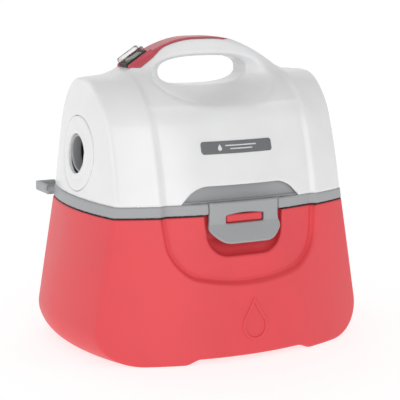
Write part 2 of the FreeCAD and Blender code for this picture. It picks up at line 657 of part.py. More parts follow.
def make_fan(duct_z):
    z0 = DECK_TOP_Z
    z1 = z0 + FAN_HOUSING_H
    r = FAN_HOUSING_R
    lower = cyl(r, z0, z1).cut(cyl(r - FAN_HOUSING_WALL, z0 + 3, z1 + 1)).cut(cyl(EYE_R + 1, z0 - 1, z0 + 5))
    nozzle = cyl_x(NOZZLE_R, r - 6, r + 3.0, 0, duct_z).cut(cyl(r - 1, z0, z1))
    lower = lower.fuse(nozzle).cut(cyl_x(NOZZLE_BORE_R, r - 14, r + 5.0, 0, duct_z))
    put("fan_housing", solid(lower))
    cover = cyl(r + 1.5, z1, z1 + 3).cut(cyl(SHAFT_R + 3, z1 - 1, z1 + 5))
    put("fan_housing_cover", cover)
    fan_z = z0 + 4.5
    high = FAN_HOUSING_H - 6.5
    hub = cyl(12.0, fan_z + 1, fan_z + high)
    back = cyl(FAN_R, fan_z + high - 1.6, fan_z + high)
    front = tube(FAN_R, EYE_R, fan_z, fan_z + 1.6)
    fan = hub.fuse(back)
    for i in range(8):
        blade = sector(EYE_R + 6, EYE_R + 7.6, fan_z + 1.6, fan_z + high - 1.6, 55.0, 0.0)
        blade.translate(V(EYE_R - 2.0, 0, 0))
        blade = blade.common(tube(FAN_R, 11.0, fan_z, fan_z + high))
        blade.rotate(V(0, 0, 0), V(0, 0, 1), 45.0 * i)
        fan = fan.fuse(blade)
    fan = fan.fuse(front)
    put("fan_wheel", solid(fan.cut(cyl(SHAFT_R, fan_z - 1, fan_z + 30))))
    put("fan_nut", tube(7.0, SHAFT_R, fan_z - 3, fan_z + 1))
    return fan_z, z1 + 3


def make_motor(fan_z, base_z):
    z = base_z
    core0, core1 = z + 16.5, z + 40.5
    top = z + 66.5
    put("motor_seat_ring", tube(MOTOR_R + 2, MOTOR_R - 8, z, z + 2))
    seat_r = STATOR_R + 0.1
    bell = cyl(MOTOR_R, z + 2, z + 23).cut(cyl(STATOR_R - 3, z + 5, z + 24)).cut(cyl(seat_r, core0, z + 24))
    bell = bell.fuse(cyl(15.0, z + 2, z + 10.5)).cut(cyl(11.0, z + 3.5, z + 12)).cut(cyl(SHAFT_R + 1, z, z + 6))
    for i in range(6):
        slot = cyl(5.0, z, z + 6, 28.0 * math.cos(i * math.pi / 3), 28.0 * math.sin(i * math.pi / 3))
        bell = bell.cut(slot)
    put("motor_lower_bell", solid(bell))
    bell = cyl(MOTOR_R, core1 - 8, top).cut(cyl(STATOR_R - 3, core1 - 9, top - 3)).cut(
        cyl(seat_r, core1 - 9, core1))
    bell = bell.fuse(cyl(15.0, top - 8.5, top)).cut(cyl(11.0, top - 10, top - 1.5))
    bell = bell.cut(cyl(SHAFT_R + 1, top - 10, top + 1))
    for i in range(6):
        a = math.pi / 6 + i * math.pi / 3
        bell = bell.cut(cyl(6.0, top - 5, top + 1, 28.0 * math.cos(a), 28.0 * math.sin(a)))
    brush_z = top - 16
    for side in (-1, 1):
        port = cyl_x(7.0, STATOR_R - 5, MOTOR_R + 1, 0, brush_z)
        bell = bell.cut(port if side > 0 else port.mirror(V(0, 0, 0), V(1, 0, 0)))
    put("motor_upper_bell", solid(bell))

    stator = cyl(STATOR_R, core0, core1).cut(cyl(ARMATURE_R + AIR_GAP, core0 - 1, core1 + 1))
    coils = []
    for centre in (90.0, 270.0):
        slot = sector(24.5, 34.0, core0 - 1, core1 + 1, 66.0, centre).cut(
            sector(24.0, 35.0, core0 - 2, core1 + 2, 44.0, centre))
        stator = stator.cut(slot)
        loop = sector(25.5, 33.2, core0 - 7, core1 + 7, 64.0, centre).cut(
            sector(25.0, 34.0, core0 - 0.4, core1 + 0.4, 46.0, centre))
        coils.append(solid(loop))
    put("stator_core", solid(stator))
    put("field_coils", Part.makeCompound(coils))

    armature = cyl(ARMATURE_R, core0, core1).cut(cyl(SHAFT_R, core0 - 1, core1 + 1))
    for i in range(12):
        a = math.radians(30 * i + 15)
        armature = armature.cut(cyl(1.5, core0 - 1, core1 + 1, 19.5 * math.cos(a), 19.5 * math.sin(a)))
    put("armature_core", armature)
    winding = []
    for za, zb in ((core0 - 5, core0), (core1, core1 + 4)):
        end = tube(20.0, SHAFT_R + 1.5, za, zb)
        rim = [e for e in end.Edges if e.Length > 120]
        winding.append(end.makeChamfer(1.5, rim))
    put("armature_windings", Part.makeCompound(winding))
    commutator = tube(10.5, SHAFT_R, brush_z - 5.5, brush_z + 5.5)
    for i in range(12):
        groove = box(9.7, 11, -0.3, 0.3, brush_z - 8, brush_z + 6)
        groove.rotate(V(0, 0, 0), V(0, 0, 1), 30 * i)
        commutator = commutator.cut(groove)
    put("commutator", commutator)
    for name, z0 in (("lower_bearing", z + 3.5), ("upper_bearing", top - 8.5)):
        race = tube(11.0 - 0.02, SHAFT_R + RUN_CLEAR, z0, z0 + 7)
        for za in (z0 - 1, z0 + 6.4):
            race = race.cut(tube(9.0, 6.0, za, za + 1.6))
        put(name, race)
    put("motor_shaft", cyl(SHAFT_R, fan_z - 6, top + 9.5))
    hub = tube(8.0, SHAFT_R, top + 2.2, top + 8.5)
    fan = hub
    for i in range(7):
        blade = box(7.0, 25.0, -0.7, 0.7, top + 3.4, top + 8.5)
        blade.rotate(V(0, 0, 0), V(0, 0, 1), i * 360 / 7)
        fan = fan.fuse(blade)
    disc = tube(25.0, 7.5, top + 2.2, top + 3.4)
    put("cooling_fan", solid(fan.fuse(disc).cut(cyl(SHAFT_R, top, top + 12))))

    holders, brushes, caps = [], [], []
    for side in (-1, 1):
        turn = 0 if side > 0 else 180
        holder = box(14, 44, -5.2, 5.2, brush_z - 4.2, brush_z + 4.2)
        holder = holder.cut(box(13, 45, -4.1, 4.1, brush_z - 3.1, brush_z + 3.1))
        brush = box(10.7, 30, -4, 4, brush_z - 3, brush_z + 3)
        cap = cyl_x(6.8, 44, 49, 0, brush_z)
        for shape, group in ((holder, holders), (brush, brushes), (cap, caps)):
            shape.rotate(V(0, 0, 0), V(0, 0, 1), turn)
            group.append(shape)
    put("brush_holders", Part.makeCompound(holders))
    put("carbon_brushes", Part.makeCompound(brushes))
    put("brush_caps", Part.makeCompound(caps))


# --- filter cage, foam and float -------------------------------------------------------------------
def make_cage():
    top = BAND_Z
    cage = cyl(CAGE_R, CAGE_BOTTOM_Z, top).cut(cyl(CAGE_R - 2.5, CAGE_BOTTOM_Z + 2.5, top + 1))
    cage = cage.fuse(tube(CAGE_R + 14, CAGE_R - 2.5, top - 3, top))
    ribs = 8
    for i in range(ribs):
        slot = box(30, 60, -12, 12, CAGE_BOTTOM_Z + 10, top - 12)
        slot.rotate(V(0, 0, 0), V(0, 0, 1), 360 / ribs * i)
        cage = cage.cut(slot)
    cage = cage.cut(tube(CAGE_R - 14, 12.0, CAGE_BOTTOM_Z - 1, CAGE_BOTTOM_Z + 3).common(
        box(-60, 60, -5, 5, 0, 200)))
    for x, y in CAGE_SCREWS:
        cage = cage.cut(cyl(2.0, top - 4, top + 1, x, y))
    put("filter_cage", solid(cage))
    foam = tube(CAGE_R + 0.3 + FOAM_T, CAGE_R + 0.3, CAGE_BOTTOM_Z + 4, top - 3.3)
    put("foam_sleeve", foam)
    z0 = CAGE_BOTTOM_Z + 2.5 + 0.3
    cup = cyl(FLOAT_R, z0, z0 + FLOAT_H)
    cup = cup.makeFillet(6.0, [e for e in cup.Edges if e.BoundBox.ZMin > z0 + 1 and e.BoundBox.ZLength < 1])
    cup = cup.cut(cyl(FLOAT_R - 2, z0 - 1, z0 + FLOAT_H - 8))
    put("float", cup)
    screws = []
    for x, y in CAGE_SCREWS:
        screws.append(cyl(CAGE_SCREW_R, top - 3, top + 3, x, y).fuse(cyl(3.6, top - 5.2, top - 3, x, y)))
    put("cage_screws", Part.makeCompound(screws))


def make_screws():
    screws = []
    for x, y in SCREWS:
        shank = cyl(DECK_SCREW_R, BAND_Z, BAND_TOP_Z + 14, x, y)
        screws.append(shank.fuse(cyl(3.8, BAND_Z - 2.6, BAND_Z, x, y)))
    put("deck_screws", Part.makeCompound(screws))


# --- switch on the handle's left slope ---------------------------------------------------------------
SWITCH_AT = V(-73.0, 0, 297.1)
SWITCH_TILT = -33.0
SWITCH_HALF = 12.5
SWITCH_HALF_Y = 8.5
SWITCH_DEPTH = 12.5
PIVOT_DOWN = 2.0         # rocker's axis below the slope


def on_slope(shape):
    shape = shape.copy()
    shape.rotate(V(0, 0, 0), V(0, 1, 0), SWITCH_TILT)
    shape.translate(SWITCH_AT)
    return shape


def switch_bay():
    a, b = SWITCH_HALF + 0.3, SWITCH_HALF_Y + 0.3
    return on_slope(box(-a, a, -b, b, -SWITCH_DEPTH - 1.0, 20.0))


def make_switch():
    a, b = SWITCH_HALF, SWITCH_HALF_Y
    body = box(-a, a, -b, b, -SWITCH_DEPTH, -1.0)
    body = body.fuse(box(-a - 1.5, a + 1.5, -b - 1.5, b + 1.5, 0.0, 1.6)).fuse(box(-a, a, -b, b, -1.5, 0.5))
    body = body.cut(box(-a + 2.5, a - 2.5, -b + 2.0, b - 2.0, -9.0, 3.0))
    put("switch_body", on_slope(solid(body)))
    half = a - 3.1
    pad = box(-half, half, -b + 2.4, b - 2.4, -4.2, 3.4)
    rocker = pad.cut(cyl_y(26.0, -20, 20, 0, 28.4)).cut(box(-20, 20, -20, 20, 3.0, 5))
    for side in (-1, 1):
        under = [(0.5, -9.0), (20.0, -9.0), (20.0, -0.6), (half, -0.9), (half / 2, -4.1)]
        wedge = prism_y([(side * x, z) for x, z in under], -20, 20)
        rocker = rocker.cut(wedge)
    rocker.rotate(V(0, 0, -PIVOT_DOWN), V(0, 1, 0), 7.0)
    put("rocker", on_slope(solid(rocker)))
    dome = box(-a - 0.8, a + 0.8, -b - 0.8, b + 0.8, 1.6, 8.0)
    dome = dome.makeFillet(2.5, [e for e in dome.Edges if e.BoundBox.ZMax > 3])
    hollow = box(-a + 0.4, a - 0.4, -b + 0.4, b - 0.4, 0.0, 6.8)
    put("splash_cover", on_slope(solid(dome.cut(hollow))))


def make_electrics():
    gland = cyl_y(GLAND_R, GLAND_SEAT_Y - 2.2, GLAND_SEAT_Y + 18, GLAND_X, GLAND_Z)
    gland = gland.fuse(cyl_y(GLAND_FLANGE_R, GLAND_SEAT_Y - 2.2, GLAND_SEAT_Y, GLAND_X, GLAND_Z))
    put("cord_gland", gland.cut(cyl_y(3.8, 50, 150, GLAND_X, GLAND_Z)))


def build():
    make_tank()
    make_deck()
    make_head()
    put("front_recess_tray", make_bay_tray())
    put("rear_recess_tray", rear_of(make_bay_tray()))
    ring_end = make_ports()
    duct_z = make_ducts(ring_end)
    make_latches()
    fan_z, base_z = make_fan(duct_z)
    make_motor(fan_z, base_z)
    make_cage()
    make_screws()
    make_switch()
    make_electrics()
    os.makedirs("parts", exist_ok=True)
    for name, shape in PARTS.items():
        good = shape.isValid() and all(s.isClosed() for s in shape.Solids)
        box_ = shape.BoundBox
        print("%-20s solids %d ok %s vol %9.0f  x %.1f..%.1f y %.1f..%.1f z %.1f..%.1f" % (
            name, len(shape.Solids), good, shape.Volume, box_.XMin, box_.XMax, box_.YMin, box_.YMax,
            box_.ZMin, box_.ZMax))
        shape.exportStep("parts/%s.step" % name)


build()
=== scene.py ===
import math
import bpy
import numpy as np
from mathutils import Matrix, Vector


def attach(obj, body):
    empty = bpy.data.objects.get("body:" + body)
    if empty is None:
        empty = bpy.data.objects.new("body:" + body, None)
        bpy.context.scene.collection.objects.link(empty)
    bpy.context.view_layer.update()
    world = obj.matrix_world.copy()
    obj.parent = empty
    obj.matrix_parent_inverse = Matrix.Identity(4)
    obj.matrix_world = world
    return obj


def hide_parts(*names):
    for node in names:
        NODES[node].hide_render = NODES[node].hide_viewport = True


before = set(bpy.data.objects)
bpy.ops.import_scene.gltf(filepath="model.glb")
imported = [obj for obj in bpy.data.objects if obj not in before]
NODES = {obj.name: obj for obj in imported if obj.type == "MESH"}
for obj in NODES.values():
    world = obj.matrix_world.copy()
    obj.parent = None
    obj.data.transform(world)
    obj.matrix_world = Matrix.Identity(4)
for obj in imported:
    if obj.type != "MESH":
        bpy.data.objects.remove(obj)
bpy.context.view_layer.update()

# Room, light and camera.
# A grey matt sweep with its own glow, a large soft light over the front, a weaker one from each side and a
# white surround, so that the glossy white head keeps its form and the red tank doesn't tint the floor.
MM = 0.001


def linear(code):
    """An sRGB hex colour as the linear values that a shader works in."""
    parts = [int(code[i:i + 2], 16) / 255 for i in (1, 3, 5)]
    return [p / 12.92 if p <= 0.04045 else ((p + 0.055) / 1.055) ** 2.4 for p in parts] + [1.0]


def add_node(tree, kind, inputs=(), **settings):
    """One shader node with its settings; an input is a value or another node's output."""
    made = tree.nodes.new(kind)
    for name, value in settings.items():
        setattr(made, name, value)
    for name, value in dict(inputs).items():
        if isinstance(value, bpy.types.NodeSocket):
            tree.links.new(value, made.inputs[name])
        else:
            made.inputs[name].default_value = value
    return made


def new_material(name):
    made = bpy.data.materials.new(name)
    made.use_nodes = True
    tree = made.node_tree
    tree.nodes.clear()
    return made, tree


def new_object(name, mesh):
    made = bpy.data.objects.new(name, mesh)
    bpy.context.scene.collection.objects.link(made)
    return made


def sweep_floor():
    """Flat floor that curves up into a wall far behind, in one smooth strip."""
    run = [(-6.0, 0.0), (2.2, 0.0)]
    run += [(2.2 + 1.2 * math.sin(a), 1.2 - 1.2 * math.cos(a)) for a in np.linspace(0.1, math.pi / 2, 16)]
    run.append((3.4, 5.0))
    points = [(x, y, z) for y, z in run for x in (-6.0, 6.0)]
    faces = [(2 * i, 2 * i + 1, 2 * i + 3, 2 * i + 2) for i in range(len(run) - 1)]
    mesh = bpy.data.meshes.new("studio_floor")
    mesh.from_pydata(points, [], faces)
    mesh.shade_smooth()
    return new_object("studio_floor", mesh)


floor = sweep_floor()
material, tree = new_material("matt_paper_sweep")
paper = add_node(tree, "ShaderNodeBsdfPrincipled", {
    "Base Color": linear("#A8A8A8"), "Roughness": 0.9,
    "Emission Color": (1, 1, 1, 1), "Emission Strength": 0.72})
add_node(tree, "ShaderNodeOutputMaterial", {"Surface": paper.outputs["BSDF"]})
floor.data.materials.append(material)

world = bpy.data.worlds.new("white_surround")
bpy.context.scene.world = world
world.use_nodes = True
world.node_tree.nodes.clear()
# brightest at the level of the eye and a third dimmer overhead, as in a room lit by its walls
toward = add_node(world.node_tree, "ShaderNodeTexCoord").outputs["Generated"]
upward = add_node(world.node_tree, "ShaderNodeSeparateXYZ", {"Vector": toward}).outputs["Z"]
dimming = add_node(world.node_tree, "ShaderNodeMapRange", {"Value": upward, "From Min": 0.1, "From Max": 0.9,
                                                           "To Min": 0.62, "To Max": 0.44})
glow = add_node(world.node_tree, "ShaderNodeBackground", {
    "Color": (1, 1, 1, 1), "Strength": dimming.outputs["Result"]})
add_node(world.node_tree, "ShaderNodeOutputWorld", {"Surface": glow.outputs["Background"]})
bpy.context.scene.view_settings.view_transform = "Standard"

LAMPS = (("front_softbox", (-0.7, -2.9, 1.1), 1.8, 22.0),
         ("left_softbox", (-2.7, -0.5, 1.0), 1.4, 9.0),
         ("right_softbox", (2.4, -1.2, 1.5), 1.6, 3.0))
for name, place, width, power in LAMPS:
    lamp = bpy.data.lights.new(name, "AREA")
    lamp.shape = "SQUARE"
    lamp.size = width
    lamp.energy = power
    light = new_object(name, lamp)
    light.location = place
    aim = Vector((0, 0, 0.15)) - Vector(place)
    light.rotation_euler = aim.to_track_quat("-Z", "Y").to_euler()

AZIMUTH = math.radians(-27.247)
ELEVATION = math.radians(10.151)
camera_data = bpy.data.cameras.new("camera")
camera_data.sensor_width = 36.0
camera_data.lens = 119.18
camera = new_object("camera", camera_data)
camera.location = (-0.64001, -1.25144, 0.39481)
back = Vector((math.sin(AZIMUTH) * math.cos(ELEVATION), -math.cos(AZIMUTH) * math.cos(ELEVATION),
               math.sin(ELEVATION)))
camera.rotation_euler = (-back).to_track_quat("-Z", "Y").to_euler()
bpy.context.scene.camera = camera

# Tank.
# Injection-moulded polypropylene bucket: bowed sides that meet in tight corners, ends that turn under
# in a big radius, a let-in panel on front and rear, and a finger pocket sunk behind each latch.
RIM_Z = 146.6
CORNER_X = 133.6
CORNER_Y = 80.6
FRONT_RISE = 33.6
END_RISE = 11.7
END_FLARE = 0.172
FRONT_FLARE = 0.10
LOWER_RADIUS = 38.0
WALL = 3.2
PANEL_DEPTH = 5.0
PANEL_IN = 82.0
PANEL_OUT = 91.0
PANEL_LINE_X = 91.5
PANEL_LINE_Z = 75.0
POCKET_HALF_X = 44.6
POCKET_LOW_Z = 105.4
POCKET_DEPTH = 13.0
EMBLEM_AT = (2.9, 34.0)
EMBLEM_R = 13.0
FACE_Y = CORNER_Y + FRONT_RISE - PANEL_DEPTH


def round_and(a, b, r):
    """Inside both fields, with the edge where they meet rounded to radius r."""
    return np.minimum(-r, np.maximum(a, b)) + np.hypot(np.maximum(a + r, 0), np.maximum(b + r, 0))


def round_or(a, b, r):
    return -round_and(-a, -b, r)


def cut_away(a, b, r):
    return round_and(a, -b, r)


def ease(t):
    """0 to 1 with soft ends."""
    t = np.clip(t, 0, 1)
    return t * t * (3 - 2 * t)


def block(x, y, z, cx, cy, cz, hx, hy, hz, r):
    """Field of a block with rounded edges."""
    a, b, c = np.abs(x - cx) - hx, np.abs(y - cy) - hy, np.abs(z - cz) - hz
    return round_and(round_and(a, b, r), c, r)


def drop_outline(x, z, r):
    """Field of a water drop: a circle drawn up to a point at two radii."""
    x = np.abs(x)
    return np.where(z * 0.866 > x * 0.5, 0.866 * x + 0.5 * z - r, np.hypot(x, z) - r)


def bow_radius(half, rise):
    return (half * half + rise * rise) / (2 * rise)


def bow(x, half, rise):
    """How far a bowed side stands past its corners at x along it."""
    radius = bow_radius(half, rise)
    return rise - radius + np.sqrt(radius * radius - x * x)


def skin(name, field, low, high, step):
    """Mesh of the surface where a distance field in millimetres is zero: one quad for each grid edge
    that it crosses, then every point slid along the field's slope until it lies on the surface."""
    axes = [np.arange(a, b + step, step) for a, b in zip(low, high)]
    shape = tuple(len(a) for a in axes)
    value = np.array(np.broadcast_to(field(*np.meshgrid(*axes, indexing="ij", sparse=True)), shape))
    places, cells, quads = [], [], []
    for axis in range(3):
        near = value[tuple(slice(0, -1) if i == axis else slice(None) for i in range(3))]
        far = value[tuple(slice(1, None) if i == axis else slice(None) for i in range(3))]
        hit = np.argwhere((near < 0) != (far < 0))
        v0, v1 = near[tuple(hit.T)], far[tuple(hit.T)]
        place = hit.astype(float)
        place[:, axis] += v0 / (v0 - v1)
        ring = []
        for db, dc in ((0, 0), (-1, 0), (-1, -1), (0, -1)):
            cell = hit.copy()
            cell[:, (axis + 1) % 3] += db
            cell[:, (axis + 2) % 3] += dc
            ring.append(np.ravel_multi_index(cell.T, shape))
            places.append(place)
        cells += ring
        quad = np.stack(ring, 1)
        quad[v0 >= 0] = quad[v0 >= 0][:, ::-1]
        quads.append(quad)
    used, index = np.unique(np.concatenate(cells), return_inverse=True)
    count = np.bincount(index)
    places = np.concatenate(places)
    point = np.stack([np.bincount(index, places[:, i]) / count for i in range(3)], 1) * step + np.array(low)
    small = 0.02
    for _ in range(6):
        f = field(*point.T)
        slope = np.stack([(field(*(point + d).T) - field(*(point - d).T)) / (2 * small)
                          for d in np.eye(3) * small], 1)
        move = slope * (f / np.maximum((slope ** 2).sum(1), 0.05))[:, None]
        length = np.linalg.norm(move, axis=1, keepdims=True)
        point -= move * np.minimum(1, 0.4 * step / np.maximum(length, 1e-9))
    faces = np.searchsorted(used, np.concatenate(quads))
    mesh = bpy.data.meshes.new(name)
    mesh.vertices.add(len(point))
    mesh.vertices.foreach_set("co", (point * MM).ravel())
    mesh.loops.add(faces.size)
    mesh.loops.foreach_set("vertex_index", faces.ravel())
    mesh.polygons.add(len(faces))
    mesh.polygons.foreach_set("loop_start", np.arange(0, faces.size, 4))
    mesh.update(calc_edges=True)
    mesh.validate()
    mesh.shade_smooth()
    return new_object(name, mesh)


def bowed_plan(x, y, hx, hy):
    """Field of the four bowed sides round plan corners hx, hy."""
    r_front = bow_radius(CORNER_X, FRONT_RISE)
    r_end = bow_radius(CORNER_Y, END_RISE)
    front = np.hypot(x, np.abs(y) + r_front - hy - FRONT_RISE) - r_front
    end = np.hypot(y, np.abs(x) + r_end - hx - END_RISE) - r_end
    return front, end


def tank_sides(x, y, z):
    drop = RIM_Z - z
    hx = CORNER_X + END_FLARE * drop
    hy = CORNER_Y + FRONT_FLARE * drop
    front, end = bowed_plan(x, y, hx, hy)
    across = np.abs(x)
    # the let-in panel: a broad U with a sloping step and a shallow groove at its foot
    u_side = across - (PANEL_LINE_X - 0.12 * drop)
    u_floor = PANEL_LINE_Z + 0.0022 * x * x - z
    u_edge = round_and(u_side, u_floor, 30.0)
    front = front + PANEL_DEPTH * ease(-u_edge / 6.0) + 1.1 * np.exp(-((u_edge + 5.5) / 2.2) ** 2)
    # feet at the ends, with a low arch between them
    under = 5.0 * ease((73.0 - across) / 17.0) - z
    ends = round_and(end, under, LOWER_RADIUS)
    body = round_and(ends, front, 2.5)
    # finger pockets behind the latches
    p_side = across - (POCKET_HALF_X - 0.10 * drop)
    p_edge = round_and(p_side, POCKET_LOW_Z - z, 21.0)
    depth = np.minimum(POCKET_DEPTH, (z - 98.0) * 0.55)
    pocket = round_and(p_edge, FACE_Y - depth - np.abs(y), 5.0)
    return cut_away(body, pocket, 2.2)


def tank_field(x, y, z):
    sides = tank_sides(x, y, z)
    shell = round_and(sides, z - RIM_Z, 0.9)
    shell = np.maximum(shell, -(sides + WALL + 0.8 + 1.2 * ease((RIM_Z - 6.0 - z) / 10.0)))
    tongue = block(x, np.abs(y), z, 0, FACE_Y - 8.0, 142.8, 20.4, 5.9, 4.1, 1.6)
    return np.minimum(shell, tongue)


# grid step in millimetres, less than half of WALL
FINE = 1.4
tank = skin("tank_moulding", tank_field, (-168, -136, -4), (168, 136, 152), FINE)


def moulded_plastic(name, colour, roughness, grain_mm, grain_depth, ior=1.49, coat=0.0, worn="#FFFFFF"):
    """Moulded thermoplastic: a fine spark-eroded grain from the tool, slow shifts of gloss where the melt
    cooled unevenly, and edges rubbed a little paler by handling."""
    made, tree = new_material(name)
    where = add_node(tree, "ShaderNodeTexCoord").outputs["Object"]
    grain = add_node(tree, "ShaderNodeTexNoise", {"Vector": where, "Scale": 1 / (grain_mm * MM),
                                                  "Detail": 3.0, "Roughness": 0.6})
    cloud = add_node(tree, "ShaderNodeTexNoise", {"Vector": where, "Scale": 1 / 0.06, "Detail": 2.0})
    tone = add_node(tree, "ShaderNodeMapRange", {"Value": cloud.outputs["Fac"], "From Min": 0.3,
                                                 "From Max": 0.7, "To Min": 0.96, "To Max": 1.03})
    base = add_node(tree, "ShaderNodeMix", data_type="RGBA", blend_type="MULTIPLY")
    base.inputs["Factor"].default_value = 1.0
    base.inputs["A"].default_value = linear(colour)
    tree.links.new(tone.outputs["Result"], base.inputs["B"])
    edge = add_node(tree, "ShaderNodeNewGeometry").outputs["Pointiness"]
    rub = add_node(tree, "ShaderNodeMapRange", {"Value": edge, "From Min": 0.53, "From Max": 0.62,
                                                "To Min": 0.0, "To Max": 0.22})
    rubbed = add_node(tree, "ShaderNodeMix", data_type="RGBA")
    tree.links.new(rub.outputs["Result"], rubbed.inputs["Factor"])
    tree.links.new(base.outputs["Result"], rubbed.inputs["A"])
    rubbed.inputs["B"].default_value = linear(worn)
    gloss = add_node(tree, "ShaderNodeMapRange", {"Value": cloud.outputs["Fac"], "From Min": 0.3,
                                                  "From Max": 0.7, "To Min": roughness * 0.92,
                                                  "To Max": roughness * 1.1})
    bump = add_node(tree, "ShaderNodeBump", {"Height": grain.outputs["Fac"], "Strength": 0.35,
                                             "Distance": grain_depth * MM})
    shader = add_node(tree, "ShaderNodeBsdfPrincipled", {
        "Base Color": rubbed.outputs["Result"], "Roughness": gloss.outputs["Result"],
        "Normal": bump.outputs["Normal"], "IOR": ior, "Coat Weight": coat, "Coat Roughness": 0.12})
    add_node(tree, "ShaderNodeOutputMaterial", {"Surface": shader.outputs["BSDF"]})
    return made


# PP with a matt spark finish: an even coral red whose highlights stay broad and soft
coral_pp = moulded_plastic("coral_pp_spark_finish", "#E5484F", 0.46, 0.9, 0.02, worn="#F08A8C")
tank.data.materials.append(coral_pp)
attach(tank, "tank")
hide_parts("tank")


def emblem_field(x, y, z):
    """A raised water drop on the front, drawn in outline."""
    line = np.abs(drop_outline(x - EMBLEM_AT[0], z - EMBLEM_AT[1], EMBLEM_R)) - 1.5
    return np.maximum(round_and(line, np.abs(tank_sides(x, y, z)) - 1.2, 0.5), y)


emblem = skin("tank_emblem", emblem_field, (-14, -132, 18), (20, -112, 64), 0.7)
emblem.data.materials.append(coral_pp)
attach(emblem, "tank")


def finish_nodes(material, *names):
    """Give CAD pieces whose shape is already right the surface that the real ones have."""
    for name in names:
        NODES[name].data.materials.clear()
        NODES[name].data.materials.append(material)


# matt nitrile rubber: almost no highlight, and a faint bloom that greys it. On the gasket its reddish
# near-black is also painted shade, standing for the shadowed gap between tank and band
rubber_and_gap_shade = moulded_plastic("black_rubber_and_gap_shade", "#2A1218", 0.7, 0.8, 0.03, worn="#4A3A3E")
finish_nodes(rubber_and_gap_shade, "tank_gasket", "motor_seat_ring")

# Deck.
# One grey ABS moulding: the band that shows between tank and head, the plate that carries the motor, and
# two cord hooks at the rear corners. The band follows the let-in panels and opens for each latch.
BAND_Z = RIM_Z + 1.5
BAND_TOP_Z = 159.0
DECK_TOP_Z = BAND_Z + 3.5
END_LEAN = 0.162
FRONT_LEAN = 0.05
LATCH_HALF_X = 41.0
PIPE_X = 96.0


def band_sides(x, y, z):
    up = z - RIM_Z
    front, end = bowed_plan(x, y, CORNER_X - END_LEAN * up, CORNER_Y - FRONT_LEAN * up)
    front = front + PANEL_DEPTH * ease((PANEL_OUT - np.abs(x)) / (PANEL_OUT - PANEL_IN))
    return round_and(front, end, 2.5)


def deck_field(x, y, z):
    across, deep = np.abs(x), np.abs(y)
    sides = band_sides(x, y, z)
    bay_back = FACE_Y - 10.4
    pad = round_and(across - LATCH_HALF_X - 5.6, bay_back - 3.0 - deep, 1.0)
    hollow = np.maximum(np.maximum(sides + 5.0, DECK_TOP_Z - z), -pad)
    band = np.maximum(sides, -hollow)
    hook = block(across, y, z, 130.0, 95.5, BAND_Z + 2.2, 11.0, 18.0, 2.2, 0.8)
    hook = np.minimum(hook, block(across, y, z, 130.0, 111.7, 153.6, 11.0, 2.2, 5.4, 1.0))
    hook = np.minimum(hook, block(across, y, z, 139.2, 99.0, 153.6, 1.8, 15.0, 5.4, 1.0))
    band = np.minimum(band, hook)
    band = round_and(round_and(band, z - BAND_TOP_Z, 1.3), BAND_Z - z, 0.5)
    bay = round_and(across - LATCH_HALF_X + 0.9, bay_back - deep, 1.0)
    band = cut_away(band, bay, 0.7)
    drop = np.maximum(np.hypot(x + PIPE_X, y) - 20.3, z - DECK_TOP_Z - 1)
    return np.maximum(np.maximum(band, -drop), -(np.hypot(x, y) - 30.0))


deck = skin("deck_moulding", deck_field, (-149, -119, BAND_Z - 3), (149, 119, BAND_TOP_Z + 3), FINE)
# ABS with a fine texture: mid grey, satin, a touch lighter where cord and hands rub the edges
grey_abs = moulded_plastic("grey_abs_fine_texture", "#A4A6A8", 0.42, 0.8, 0.015, worn="#B4B6B8")
deck.data.materials.append(grey_abs)
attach(deck, "head")
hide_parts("deck")

# Head shell with its handle.
# Injection-moulded gloss ABS cover over the motor. The handle arch grows out of the crown in the same
# moulding, and a smooth scoop on each side gives the knuckles room under the grip.
CROWN_Z = 286.0
HEAD_CORNER_X = 130.9
HEAD_LEAN = 0.078
HEAD_RISE = 10.5
PORT_Z = 203.0
DISC_R = 38.5
GRIP_HALF_Y = 18.0
GRIP_Z = 299.5
HAND_FLOOR_Z = 268.8
HAND_HALF_X = 52.0
SCOOP_POWER = 2.6
SCOOP_SPREAD = 24.0
SCOOP_REACH = 18.0
BAY_TOP_Z = 176.0
SEAM = 0.25
SWITCH_AT = (-73.0, 297.1)
SLOPE_COS = 0.8387
SLOPE_SIN = 0.5446
GLAND_AT = (36.0, 190.0)


def arch_top(x):
    """Height of the handle's back at x: nearly flat at the grip, then down both slopes."""
    return 319.2 - 0.00455 * x ** 4 / (x * x + 500.0)


def head_loaf(x, y, z):
    up = z - BAND_TOP_Z
    out = bow(np.clip(x, -146, 146), CORNER_X, FRONT_RISE)
    step = PANEL_DEPTH * ease((PANEL_OUT - np.abs(x)) / (PANEL_OUT - PANEL_IN))
    reach = 80.0 - 0.17407 * up - 0.0013367 * up * up
    side = 0.95 * (np.abs(y) - out + step - reach)
    crown = z - CROWN_Z + 6.0 * (x / HEAD_CORNER_X) ** 2 + step * 0.5
    crown = crown + y * y / (200.0 + 174.0 * out / FRONT_RISE)
    return round_and(side, crown, 28.0)


def head_end(x, y, z):
    r_end = bow_radius(CORNER_Y, HEAD_RISE)
    tip = HEAD_CORNER_X - HEAD_LEAN * (z - BAND_TOP_Z) + HEAD_RISE
    return np.hypot(y, np.abs(x) + r_end - tip) - r_end


def hand_scoop(x, y, z):
    """Squarish oval bore that opens out to front and rear from the hand opening."""
    out = np.maximum(np.abs(y) - 14.0, 0)
    half_x = HAND_HALF_X + SCOOP_SPREAD * (1 - np.exp(-out / SCOOP_REACH))
    low, high = HAND_FLOOR_Z - 0.27 * out, GRIP_Z + 0.42 * out
    a, c = np.abs(x) / half_x, np.abs(z - (low + high) / 2) / ((high - low) / 2)
    size = np.maximum((a ** SCOOP_POWER + c ** SCOOP_POWER) ** (1 / SCOOP_POWER), 0.3)
    slope = np.hypot((a / size) ** 1.6 / half_x, (c / size) ** 1.6 / ((high - low) / 2))
    return (size - 1) / np.maximum(slope, 0.012)


